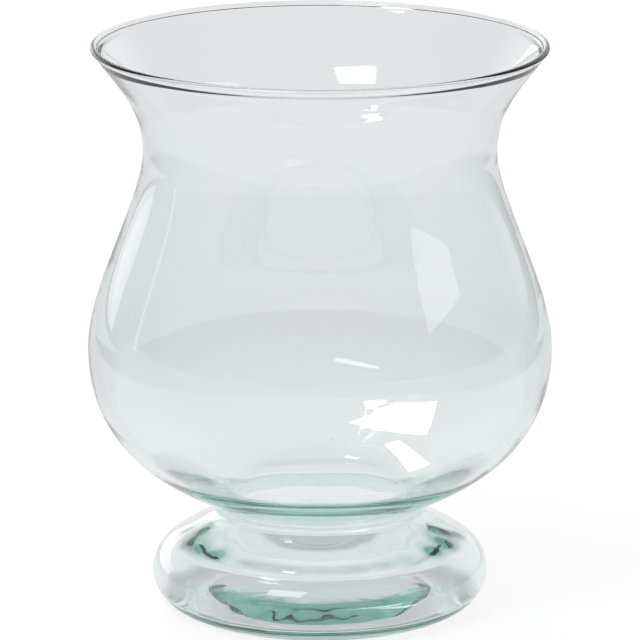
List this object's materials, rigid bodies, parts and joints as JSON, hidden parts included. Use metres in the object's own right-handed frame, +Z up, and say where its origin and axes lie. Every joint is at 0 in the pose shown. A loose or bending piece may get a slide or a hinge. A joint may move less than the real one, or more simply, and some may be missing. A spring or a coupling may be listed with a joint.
{
  "type": "footed glass vase",
  "caption": "Footed bell-shaped vase of clear recycled glass: flared rim, drawn-in waist, round belly and tight open neck above a hollow foot, for bulbs and cut flowers in water.",
  "frame": {"origin": "centre of the ring that stands on the table, on the vase's axis", "axes": "+Z up along the vase's axis, from the foot to the rim; the vase is round, so X and Y are any two level directions"},
  "size_m": [0.1614, 0.1614, 0.2],
  "materials": {
    "recycled_glass": "clear, fire-polished, faintly green from recycled cullet and deeper green where the neck and base are thick, with slight blown ripples and a few seeds"
  },
  "bodies": {
    "root": {"bowl": "recycled_glass", "foot": "recycled_glass"}
  },
  "joints": []
}
